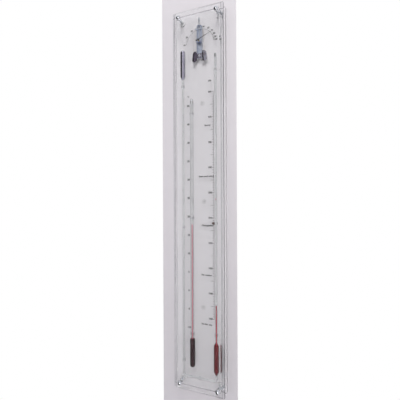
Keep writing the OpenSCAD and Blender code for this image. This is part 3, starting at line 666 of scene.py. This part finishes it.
# Reading index. A clear moulded spring clip that slides on the open limb, with a small
# arrow of brown plastic pushed on its peg.
dress(moulded_clear, "index_clip")
brown_plastic = matt_material(
    "brown_plastic", (0.045, 0.022, 0.018), (0.10, 0.055, 0.045), grain=700, least=0.35, most=0.55,
    depth=0.03 * MM)
dress(brown_plastic, "index_pointer")

# Hygrometer frame, bridge and bar. A channel folded from bright steel sheet, brushed along its length,
# with a lug bent forwards at the top. A strap across it carries the arbor, and a bar of the same sheet
# carries the hair. The bar's copy of the sheet is painted paler, to lift the shade that it stands in.
along_sheet = (6, 6, 0.3)
bright_sheet = metal_material(
    "bright_sheet", (0.60, 0.64, 0.74), (0.46, 0.49, 0.58), grain=300, least=0.34, most=0.5, depth=0.02 * MM,
    stretch=along_sheet)
dress(bright_sheet, "hygrometer_frame", "arbor_bridge")
# A paler copy of the sheet: painted light that lifts the shade on the hair bar.
hair_bar_lightened_sheet = metal_material(
    "hair_bar_lightened_sheet", (0.84, 0.88, 0.96), (0.72, 0.76, 0.86), grain=300, least=0.5, most=0.7, depth=0.02 * MM,
    stretch=along_sheet)
dress(hair_bar_lightened_sheet, "hair_bar")

# Hygrometer foot. Thin polished steel sheet, blanked and formed. Its two lobes are curled
# backwards about their long axes, and the left one is painted darker towards its left edge, as a painted
# reflection of a dark room.
dark_sheet = metal_material(
    "dark_sheet", (0.37, 0.36, 0.42), (0.24, 0.19, 0.21), grain=250, least=0.08, most=0.20, depth=0.01 * MM)
# Painted reflection of a dark room, darkening the foot towards its left
dark_reflection_colour = (0.09, 0.07, 0.10, 1)
dark_reflection_from_x = 2 * MM
dark_reflection_full_x = -9 * MM
most_dark_reflection = 0.9
foot_tree = dark_sheet.node_tree
foot_colour = foot_tree.nodes["Principled BSDF"].inputs["Base Color"]
foot_x = split(foot_tree, object_place(foot_tree))[0]
left_lobe_dark_reflection = rescale(foot_tree, foot_x, dark_reflection_from_x, dark_reflection_full_x, 0, most_dark_reflection)
foot_tree.links.new(blend(foot_tree, left_lobe_dark_reflection, foot_colour.links[0].from_socket, dark_reflection_colour), foot_colour)
dress(dark_sheet, "hygrometer_foot")

# Adjusting screw and arbor. Turned from plated steel rod, the screw with a fluted knob at its
# upper end and the arbor with a shoulder behind the hair.
dress(zinc_steel, "adjusting_screw", "arbor")

# Arbor bushes. Turned brass, pressed into the frame and the bridge.
# The front one runs on as a pipe towards the needle.
turned_brass = metal_material(
    "turned_brass", (0.72, 0.52, 0.22), (0.50, 0.34, 0.14), grain=900, least=0.15, most=0.3, depth=0.01 * MM,
    stretch=(1, 4, 1))
dress(turned_brass, "arbor_bushes")

# Hairspring. Flat steel strip wound to a spiral and tempered blue.
# It turns the arbor back and so keeps the hair taut.
blued_steel = metal_material(
    "blued_steel", (0.16, 0.20, 0.36), (0.22, 0.19, 0.32), grain=400, least=0.2, most=0.35, depth=0.01 * MM)
dress(blued_steel, "hairspring")

# Hair. Two strands of degreased hair, which run over the bar's pins and down together to the arbor.
# They lengthen in damp air and let the arbor turn.
pale_hair = matt_material(
    "pale_hair", (0.30, 0.25, 0.19), (0.52, 0.46, 0.37), grain=1800, least=0.35, most=0.6, depth=0.04 * MM)
dress(pale_hair, "hair_bundle")

# Needle. Thin sheet metal on a turned hub with a cap and a counterweight,
# all sprayed satin black.
black_lacquer = matt_material(
    "black_lacquer", (0.012, 0.012, 0.014), (0.03, 0.03, 0.034), grain=900, least=0.25, most=0.45,
    depth=0.02 * MM)
dress(black_lacquer, "pointer_hub", "pointer", "hub_cap", "counterweight")

# Barometer scale. Screen printed in near-black ink on the back plate's front face, like the other scales.
# It runs upside down beside the open limb, because the liquid there falls as the pressure rises.
ink = matt_material(
    "ink", (0.020, 0.020, 0.024), (0.045, 0.045, 0.05), grain=1500, least=0.4, most=0.6, depth=0.01 * MM)
plate_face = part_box("back_plate")[0].y
ink_rear = plate_face - 0.005 * MM
ink_depth = 0.04 * MM
ink_middle = ink_rear - ink_depth / 2
ink_front = ink_rear - ink_depth
first_hpa = 960
hpa_steps = 90
scale_top_z = 283 * MM
scale_height = 592 * MM
hpa_step = scale_height / hpa_steps
spine_x = 36.8 * MM
spine_width = 0.6 * MM
hpa_number_x = 27 * MM
hpa_number_widths = {3: 9.4 * MM, 4: 10.6 * MM}
hpa_unit_z = scale_top_z + 29 * MM


def stamp_text(mesh_builder, words, x, z, size, bold, width=None):
    """Adds upright printed words, centred on a place, and narrowed or widened to a width if one is given"""
    curve = bpy.data.curves.new("words", "FONT")
    curve.body = words
    curve.size = size
    curve.align_x = "CENTER"
    curve.align_y = "CENTER"
    curve.resolution_u = 3
    curve.extrude = ink_depth / 2
    curve.offset = bold
    mesh = finished_mesh(scene_object("words", curve))
    spread = 1
    if width:
        across = [corner.co.x for corner in mesh.vertices]
        spread = width / (max(across) - min(across))
    mesh.transform(Matrix.Translation((x, ink_middle, z)) @ Matrix.Rotation(math.radians(90), 4, "X")
                   @ Matrix.Diagonal((spread, 1, 1, 1)))
    mesh_builder.from_mesh(mesh)
    bpy.data.meshes.remove(mesh)


def printed_piece(name, mesh_builder, material):
    """Turns collected print into a piece on the panel"""
    mesh = built_mesh(name, mesh_builder)
    mesh.materials.append(material)
    piece = scene_object(name, mesh)
    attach(piece, "panel")


def print_ticks(tree, result, count, place, turn, length, line_width):
    """Ends a tree in printed ticks, one at each place that the index gives"""
    points = add_node(tree, "GeometryNodeMeshLine", [("Count", count)])
    placed = add_node(tree, "GeometryNodeSetPosition", [(0, points.outputs[0]), ("Position", place)])
    size = add_node(tree, "ShaderNodeCombineXYZ", [(0, length), (1, ink_depth), (2, line_width)])
    block = add_node(tree, "GeometryNodeMeshCube")
    ticks = add_node(tree, "GeometryNodeInstanceOnPoints", [
        ("Points", placed.outputs[0]), ("Instance", block.outputs[0]), ("Scale", size.outputs[0]),
        ("Rotation", turn)])
    close_tree(tree, result, ticks.outputs[0], ink)


def every(tree, index, count):
    """1 at each index that divides by the count, and 0 elsewhere"""
    return calc(tree, "LESS_THAN", calc(tree, "MODULO", index, count), 0.5)


def tick_row_tree():
    """A straight upright row of printed ticks that all start on one line, with longer ones at 5 and 10"""
    tree, given, result = geometry_tree("tick_row", [("Ticks", "Int")] + [(label, "Float") for label in (
        "Step", "First Height", "Foot", "Short", "Middle", "Long", "Line Width")])
    index = add_node(tree, "GeometryNodeInputIndex").outputs[0]
    length = given["Short"]
    for count, longer in ((5, "Middle"), (10, "Long")):
        length = between(tree, every(tree, index, count), length, given[longer])
    height = calc(tree, "MULTIPLY_ADD", index, given["Step"], given["First Height"])
    middle = calc(tree, "MULTIPLY_ADD", length, -0.5, given["Foot"])
    place = add_node(tree, "ShaderNodeCombineXYZ", [(0, middle), (1, ink_middle), (2, height)])
    print_ticks(tree, result, given["Ticks"], place.outputs[0], (0, 0, 0), length, given["Line Width"])
    return tree


tick_row = tick_row_tree()
barometer_ticks = grow("barometer_ticks", tick_row, {
    "Ticks": hpa_steps + 1, "Step": -hpa_step, "First Height": scale_top_z, "Foot": spine_x,
    "Short": 3.2 * MM, "Middle": 8.5 * MM, "Long": 3.6 * MM, "Line Width": 0.95 * MM})
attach(barometer_ticks, "panel")
labels = bmesh.new()
for hpa in range(0, hpa_steps + 10, 10):
    number = str(first_hpa + hpa)
    stamp_text(labels, number, hpa_number_x, scale_top_z - hpa * hpa_step, size=6.8 * MM, bold=0.29 * MM,
               width=hpa_number_widths[len(number)])
stamp_text(labels, "hPa", hpa_number_x, hpa_unit_z, size=6.2 * MM, bold=0.24 * MM)
bmesh.ops.create_cube(labels, size=1, matrix=(
    Matrix.Translation((spine_x + spine_width / 2, ink_middle, scale_top_z - scale_height / 2))
    @ Matrix.Diagonal((spine_width, ink_depth, scale_height, 1))))
printed_piece("barometer_labels", labels, ink)

# Weather words. Printed with the scale, in smaller letters. Five plain words stand beside the
# pressures that they usually go with. Each row gives its words, height, place across and width in mm.
word_rows = (("Stormy", 196.5, 20.5, 17), ("Rain and wind", 63, 16.5, 41), ("Changeable", -66, 19, 32),
             ("Fair weather", -196, 16.5, 29), ("Set fair, dry", -325, 16.2, 29.5))
words = bmesh.new()
for text, z, x, width in word_rows:
    stamp_text(words, text, x * MM, z * MM, size=5.6 * MM, bold=0.25 * MM, width=width * MM)
printed_piece("weather_words", words, ink)

# Weather signs. Three small round pictures in a paler ink, each in a ring:
# rain under a cloud, a cloud before the sun, and the sun.
pale_ink = matt_material(
    "pale_ink", (0.07, 0.07, 0.075), (0.12, 0.12, 0.125), grain=1500, least=0.4, most=0.6, depth=0.01 * MM)
sign_line = 0.55 * MM
ring_inner_r = 5.3 * MM
ring_outer_r = 5.7 * MM
rain_x = 5.9 * MM
rain_z = 255.1 * MM
change_x = 10 * MM
change_z = -2.8 * MM
sun_x = 6.8 * MM
sun_z = -281.2 * MM


def stamp_line(mesh_builder, start, end, line_width):
    """Adds a straight printed line between two places"""
    middle = ((start[0] + end[0]) / 2, ink_middle, (start[1] + end[1]) / 2)
    angle = math.atan2(end[1] - start[1], end[0] - start[0])
    bmesh.ops.create_cube(mesh_builder, size=1, matrix=(
        Matrix.Translation(middle) @ Matrix.Rotation(-angle, 4, "Y")
        @ Matrix.Diagonal((math.dist(start, end), ink_depth, line_width, 1))))


def stamp_band(mesh_builder, centre, inner_r, outer_r, start_angle, end_angle, steps):
    """Adds a flat printed arc, or a whole ring where the two angles are a full turn apart"""
    whole = abs(end_angle - start_angle) > math.tau - 0.001
    rows = []
    for step in range(steps + (0 if whole else 1)):
        angle = start_angle + (end_angle - start_angle) * step / steps
        across = math.cos(angle)
        up = math.sin(angle)
        rows.append([mesh_builder.verts.new((centre[0] + r * across, y, centre[1] + r * up)) for r, y in (
            (inner_r, ink_rear), (outer_r, ink_rear), (outer_r, ink_front), (inner_r, ink_front))])
    for step in range(len(rows) - (0 if whole else 1)):
        near = rows[step]
        far = rows[(step + 1) % len(rows)]
        for side in range(4):
            after = (side + 1) % 4
            mesh_builder.faces.new((near[side], near[after], far[after], far[side]))
    if not whole:
        mesh_builder.faces.new(rows[0])
        mesh_builder.faces.new(rows[-1])
    bmesh.ops.recalc_face_normals(mesh_builder, faces=mesh_builder.faces)


def stamp_sun(mesh_builder, x, z, radius):
    """Adds a small sun: a thick ring of half its size and eight rays around it"""
    rays = 8
    ray_foot = 0.7 * radius
    stamp_band(mesh_builder, (x, z), 0.42 * radius, 0.58 * radius, 0, math.tau, steps=24)
    for ray in range(rays):
        angle = math.tau * ray / rays
        across = math.cos(angle)
        up = math.sin(angle)
        stamp_line(mesh_builder, (x + ray_foot * across, z + ray_foot * up),
                   (x + radius * across, z + radius * up), sign_line)


def stamp_cloud(mesh_builder, x, z, radius):
    """Adds a small cloud of three bows on a straight foot"""
    side_x = 0.6 * radius
    side_r = 0.38 * radius
    top_r = 0.55 * radius
    for aside, bow_r, low_angle, high_angle in (
            (-side_x, side_r, 80, 270), (0, top_r, 20, 150), (side_x, side_r, -90, 90)):
        stamp_band(mesh_builder, (x + aside, z), bow_r - sign_line / 2, bow_r + sign_line / 2,
                   math.radians(low_angle), math.radians(high_angle), steps=12)
    stamp_line(mesh_builder, (x - side_x, z - side_r), (x + side_x, z - side_r), sign_line)


signs = bmesh.new()
for centre in ((rain_x, rain_z), (change_x, change_z), (sun_x, sun_z)):
    stamp_band(signs, centre, ring_inner_r, ring_outer_r, 0, math.tau, steps=48)
stamp_cloud(signs, rain_x, rain_z + 1.5 * MM, radius=2.8 * MM)
for aside in (-1.4 * MM, 0, 1.4 * MM):
    drop_x = rain_x + aside
    stamp_line(signs, (drop_x, rain_z - 0.5 * MM), (drop_x - 0.6 * MM, rain_z - 2.9 * MM), sign_line)
stamp_sun(signs, change_x + 1.4 * MM, change_z + 1.6 * MM, radius=2.6 * MM)
stamp_cloud(signs, change_x - 1 * MM, change_z - 1.4 * MM, radius=2.6 * MM)
stamp_sun(signs, sun_x, sun_z, radius=3.8 * MM)
printed_piece("weather_signs", signs, pale_ink)

# Thermometer scale. Printed in the same ink to the left of the stem, from -10 to 50 degrees,
# with a number at every fifth one.
first_degree = -10
degree_steps = 60
degree_step = 9.8833 * MM
first_degree_z = -340 * MM
degree_number_x = -33.8 * MM
degree_unit_z = first_degree_z + degree_steps * degree_step + 24 * MM
thermometer_ticks = grow("thermometer_ticks", tick_row, {
    "Ticks": degree_steps + 1, "Step": degree_step, "First Height": first_degree_z, "Foot": -25.6 * MM,
    "Short": 1.6 * MM, "Middle": 2.6 * MM, "Long": 2.6 * MM, "Line Width": 0.3 * MM})
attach(thermometer_ticks, "panel")
degrees = bmesh.new()
for degree in range(0, degree_steps + 5, 5):
    stamp_text(degrees, str(first_degree + degree), degree_number_x, first_degree_z + degree * degree_step,
               size=7.0 * MM, bold=0.36 * MM)
stamp_text(degrees, "°C", degree_number_x, degree_unit_z, size=5.8 * MM, bold=0.22 * MM)
printed_piece("thermometer_labels", degrees, ink)

# Hygrometer dial. Percent marks printed along an arc around the needle, closer together in damp air,
# because hair lengthens less and less there.
first_percent = 10
percent_steps = 90
angle_at_first = 174
angle_slope = -2.9
angle_curve = 0.0113
dial_z = 413 * MM
dial_r = 38.5 * MM
arc_half_width = 0.2 * MM
percent_number_r = 44.5 * MM


def dial_angle(percent):
    """Angle of a percentage on the dial, above the horizontal towards the right"""
    past_first = percent - first_percent
    return math.radians(angle_at_first + angle_slope * past_first + angle_curve * past_first ** 2)


def dial_marks_tree():
    """Printed ticks along the dial's arc, at the angles that dial_angle gives"""
    tree, given, result = geometry_tree("dial_marks", [("Marks", "Int")] + [(label, "Float") for label in (
        "Radius", "Short", "Long", "Line Width", "Centre Height")])
    index = add_node(tree, "GeometryNodeInputIndex").outputs[0]
    slope = calc(tree, "MULTIPLY_ADD", index, angle_curve, angle_slope)
    degrees_up = calc(tree, "MULTIPLY_ADD", slope, index, angle_at_first)
    angle = calc(tree, "MULTIPLY", degrees_up, math.radians(1))
    length = between(tree, every(tree, index, 10), given["Short"], given["Long"])
    middle_r = calc(tree, "MULTIPLY_ADD", length, 0.5, given["Radius"])
    x = calc(tree, "MULTIPLY", middle_r, calc(tree, "COSINE", angle))
    z = calc(tree, "MULTIPLY_ADD", middle_r, calc(tree, "SINE", angle), given["Centre Height"])
    place = add_node(tree, "ShaderNodeCombineXYZ", [(0, x), (1, ink_middle), (2, z)])
    turn = add_node(tree, "ShaderNodeCombineXYZ", [(1, calc(tree, "MULTIPLY", angle, -1))])
    print_ticks(tree, result, given["Marks"], place.outputs[0], turn.outputs[0], length, given["Line Width"])
    return tree


dial_marks = grow("dial_marks", dial_marks_tree(), {
    "Marks": percent_steps + 1, "Radius": dial_r, "Short": 1.4 * MM, "Long": 2.6 * MM,
    "Line Width": 0.3 * MM, "Centre Height": dial_z})
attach(dial_marks, "panel")
dial = bmesh.new()
last_percent = first_percent + percent_steps
stamp_band(dial, (0, dial_z), dial_r - arc_half_width, dial_r + arc_half_width, dial_angle(first_percent),
           dial_angle(last_percent), percent_steps)
for percent in range(first_percent, last_percent + 10, 10):
    angle = dial_angle(percent)
    stamp_text(dial, str(percent), percent_number_r * math.cos(angle),
               dial_z + percent_number_r * math.sin(angle), size=5.8 * MM, bold=0.26 * MM)
printed_piece("dial_labels", dial, ink)

# Wall and floor of the studio. A pale grey strip of wall behind the panel, plain white beside it, and
# seen from its front only, so that the panel can also be looked at from behind.
strip_middle = -12.0 * MM
strip_half = 106.7 * MM
wall_y = 0.2 * MM
wall_top = 3
room_half = 4
room_depth = 5
floor_z = -0.8


def studio_paint(name, colour, roughness, sheen):
    """A plain paint for the studio, its node tree and its main shader"""
    paint, tree, shader = new_material(name, colour)
    shader.inputs["Roughness"].default_value = roughness
    shader.inputs["Specular IOR Level"].default_value = sheen
    return paint, tree, shader


def stage_card(name, start, end, paint):
    """A flat card of the studio between two opposite corners"""
    x, y, z = start
    far_x, far_y, far_z = end
    aside = (far_x, y, z) if far_x != x else (x, far_y, z)
    above = (x, y, far_z) if far_z != z else (x, far_y, z)
    mesh = bpy.data.meshes.new(name)
    mesh.from_pydata([start, aside, end, above], [], [(0, 1, 2, 3)])
    mesh.materials.append(paint)
    card = scene_object(name, mesh)
    return card


wall_paint, wall_tree, wall_shader = studio_paint(
    "wall_paint", (0.665, 0.642, 0.668), roughness=0.9, sheen=0.1)
from_strip = calc(wall_tree, "ADD", split(wall_tree, object_place(wall_tree))[0], -strip_middle)
beside_strip = calc(wall_tree, "GREATER_THAN", calc(wall_tree, "ABSOLUTE", from_strip), strip_half)
wall_ray = add_node(wall_tree, "ShaderNodeLightPath").outputs
seen = wall_ray["Is Camera Ray"]
for kind in ("Is Glossy Ray", "Is Transmission Ray"):
    seen = calc(wall_tree, "MAXIMUM", seen, wall_ray[kind])
white_share = calc(wall_tree, "MULTIPLY", seen, beside_strip)
white_light = add_node(wall_tree, "ShaderNodeEmission", [("Color", (1, 1, 1, 1)), ("Strength", 1.0)])
wall_front = add_node(wall_tree, "ShaderNodeMixShader", [
    (0, white_share), (1, wall_shader.outputs[0]), (2, white_light.outputs[0])])
wall_side = add_node(wall_tree, "ShaderNodeNewGeometry")
wall_clear = add_node(wall_tree, "ShaderNodeBsdfTransparent")
wall_mix = add_node(wall_tree, "ShaderNodeMixShader", [
    (0, wall_side.outputs["Backfacing"]), (1, wall_front.outputs[0]), (2, wall_clear.outputs[0])])
wall_tree.links.new(wall_mix.outputs[0], wall_tree.nodes["Material Output"].inputs["Surface"])
stage_card("wall", (-room_half, wall_y, floor_z), (room_half, wall_y, wall_top), wall_paint)
floor_paint = studio_paint("floor_paint", (0.70, 0.69, 0.70), roughness=0.9, sheen=0.5)[0]
stage_card("floor", (-room_half, -room_depth, floor_z), (room_half, room_depth, floor_z), floor_paint)

# Dark cards of the studio. Three cards of black paper: one stands to the left, one in front and one
# lies on the floor. They show only as reflections, and the left one also through the clear pieces.
card_paint = studio_paint("card_paint", (0.03, 0.03, 0.035), roughness=1, sheen=0)[0]
card_foot = -0.79
left_x = -1.2
front_x = -1.3
front_y = -2
for name, start, end in (("card_left", (left_x, -0.001, card_foot), (left_x, -1.6, 1.4)),
                         ("card_front", (front_x, front_y, card_foot), (-0.15, front_y, 2.4)),
                         ("card_floor", (front_x, front_y, card_foot), (0.2, -0.1, card_foot))):
    card = stage_card(name, start, end, card_paint)
    card.visible_camera = False
    card.visible_diffuse = False
    card.visible_shadow = False
    card.visible_transmission = name == "card_left"

# Lamps. A large soft key lamp from the upper right, a weak fill lamp from the right and an even pale
# surround. A third lamp at the panel's own height gives highlights and lights nothing matt.
lamp_white = (1.0, 0.985, 0.97)


def soft_lamp(name, place, aim, size, power, highlight):
    """A square area lamp that points at a place. It either lights matt things or shows in mirrors."""
    data = bpy.data.lights.new(name, "AREA")
    data.shape = "SQUARE"
    data.size = size
    data.energy = power
    data.color = lamp_white
    lamp = scene_object(name, data)
    direction = Vector(aim) - Vector(place)
    lamp.matrix_world = Matrix.Translation(place) @ direction.to_track_quat("-Z", "Y").to_matrix().to_4x4()
    lamp.visible_camera = False
    lamp.visible_transmission = False
    lamp.visible_glossy = highlight
    lamp.visible_diffuse = not highlight


soft_lamp("key_lamp", (0.35, -1.6, 1.5), (0, 0, 0), size=0.8, power=23, highlight=False)
soft_lamp("fill_lamp", (0.85, -0.5, 0.11), (0, 0, 0.11), size=0.4, power=2.3, highlight=False)
soft_lamp("highlight_lamp", (0.55, -1.5, -0.1), (0, 0, -0.1), size=0.6, power=9.6, highlight=True)
world = bpy.data.worlds.new("studio")
world.use_nodes = True
world_tree = world.node_tree
upness = split(world_tree, add_node(world_tree, "ShaderNodeTexCoord").outputs["Generated"])[2]
sky_share = rescale(world_tree, upness, -0.1, 1)
sky = blend(world_tree, sky_share, (0.47, 0.46, 0.475, 1), (0.80, 0.81, 0.85, 1))
world_tree.links.new(sky, world_tree.nodes["Background"].inputs["Color"])
scene.world = world
scene.cycles.max_bounces = 24
scene.cycles.transmission_bounces = 24
scene.cycles.glossy_bounces = 8
scene.cycles.transparent_max_bounces = 24
scene.cycles.sample_clamp_indirect = 6
